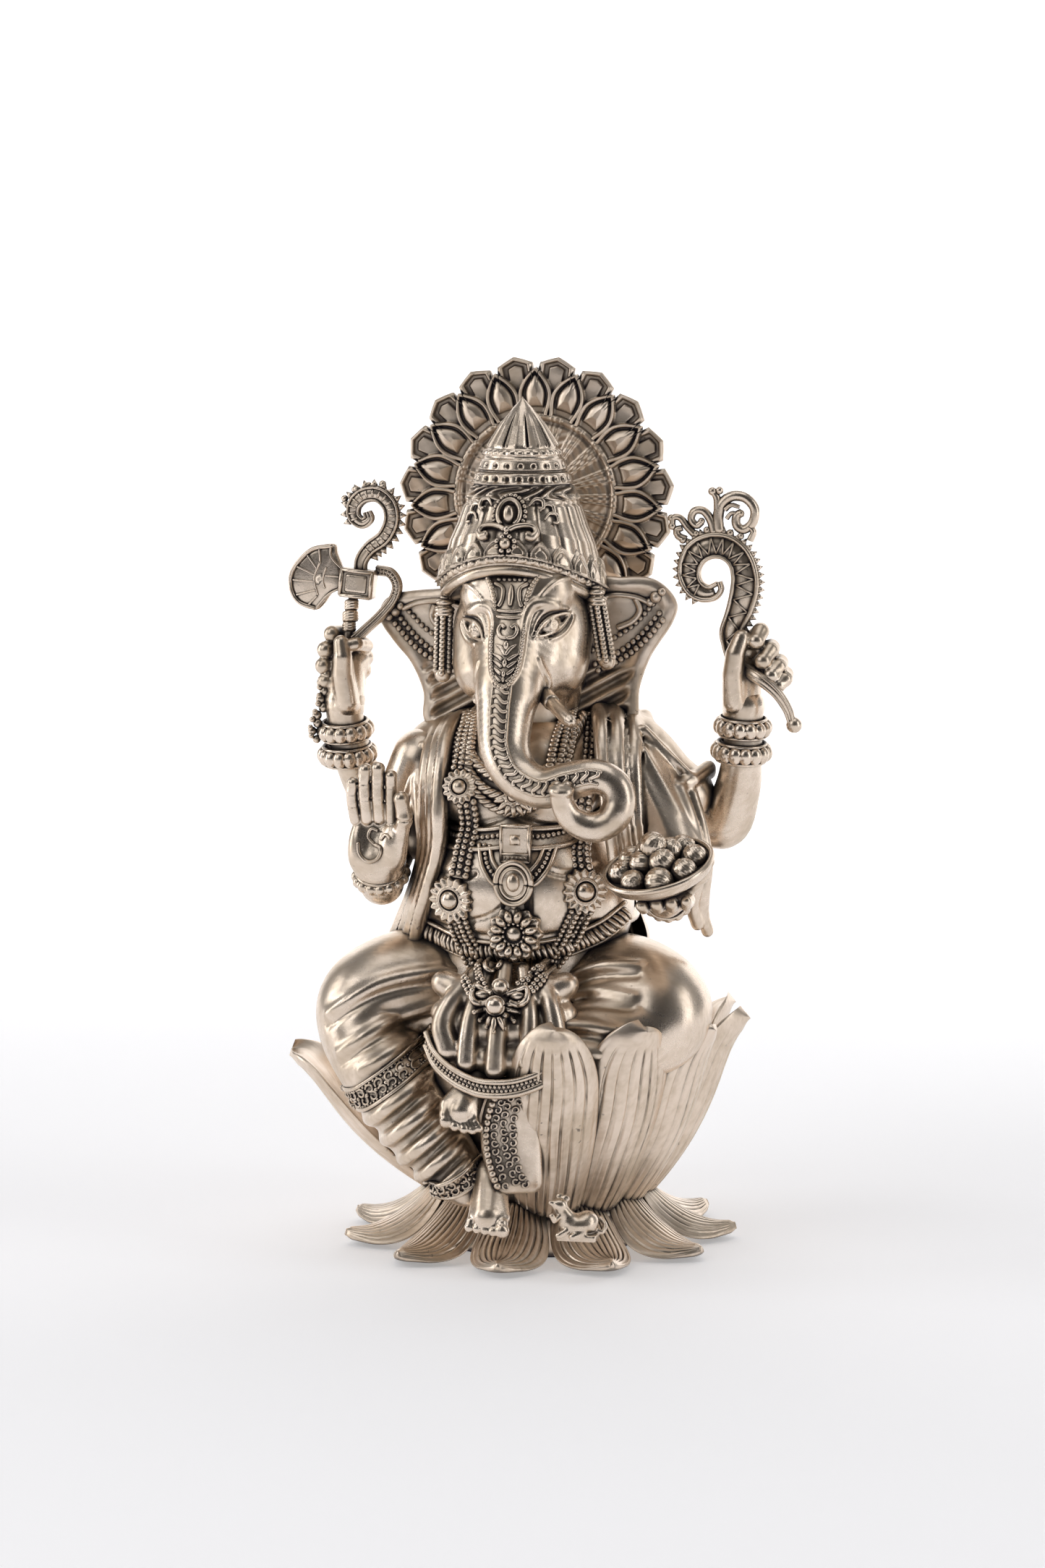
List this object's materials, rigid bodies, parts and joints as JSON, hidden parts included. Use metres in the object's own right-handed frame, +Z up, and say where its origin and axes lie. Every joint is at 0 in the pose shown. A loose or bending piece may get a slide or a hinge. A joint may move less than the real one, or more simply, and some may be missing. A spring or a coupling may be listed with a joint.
{
  "type": "hindu deity statue",
  "caption": "Antique brass statue of a seated elephant-headed deity with raised arms, halo, axe, goad and sweet bowl on an open lotus",
  "frame": {"origin": "middle of the bounding box, at the level of the surface the statue stands on; this is the axis of the lotus hub to within half a millimetre", "axes": "+Z up, -Y the way the deity faces, +X towards the deity's left hand"},
  "size_m": [0.0616, 0.0499, 0.1004],
  "materials": {
    "brass": "polished",
    "bright_brass": "polished",
    "old_brass": "satin",
    "steel": "satin"
  },
  "bodies": {
    "root": {"lotus_hub": "old_brass", "lower_petals": "brass", "lotus_cup": "old_brass", "upper_petals": "brass", "base_screw": "steel", "base_washer": "steel", "pelvis": "old_brass", "right_leg": "brass", "left_leg": "brass", "right_foot": "bright_brass", "left_foot": "bright_brass", "apron": "brass", "apron_hem": "bright_brass", "lace_sash": "bright_brass", "waist_belt": "bright_brass", "belt_flower": "bright_brass", "torso": "brass", "necklace": "bright_brass", "garland": "bright_brass", "garland_medallions": "bright_brass", "garland_bow": "bright_brass", "chest_band": "bright_brass", "chest_clasp": "bright_brass", "pendants": "bright_brass", "right_shawl": "old_brass", "left_shawl": "old_brass", "head": "brass", "trunk": "brass", "tusk": "bright_brass", "right_ear": "brass", "left_ear": "brass", "right_ear_tassel": "bright_brass", "left_ear_tassel": "bright_brass", "forehead_plate": "bright_brass", "crown_rim": "bright_brass", "crown_dome": "brass", "crown_spire": "brass", "crown_crest": "bright_brass", "halo_disc": "old_brass", "halo_petals": "brass", "halo_pin": "steel", "upper_right_arm": "brass", "upper_left_arm": "brass", "lower_right_arm": "brass", "lower_left_arm": "brass", "upper_right_hand": "bright_brass", "upper_left_hand": "bright_brass", "lower_right_hand": "bright_brass", "lower_left_hand": "bright_brass", "upper_right_bangles": "bright_brass", "upper_left_bangles": "bright_brass", "lower_right_bangle": "bright_brass", "lower_left_bangle": "bright_brass", "axe": "bright_brass", "noose": "bright_brass", "goad": "bright_brass", "sweet_bowl": "brass", "sweets": "bright_brass", "mouse": "bright_brass"}
  },
  "joints": []
}
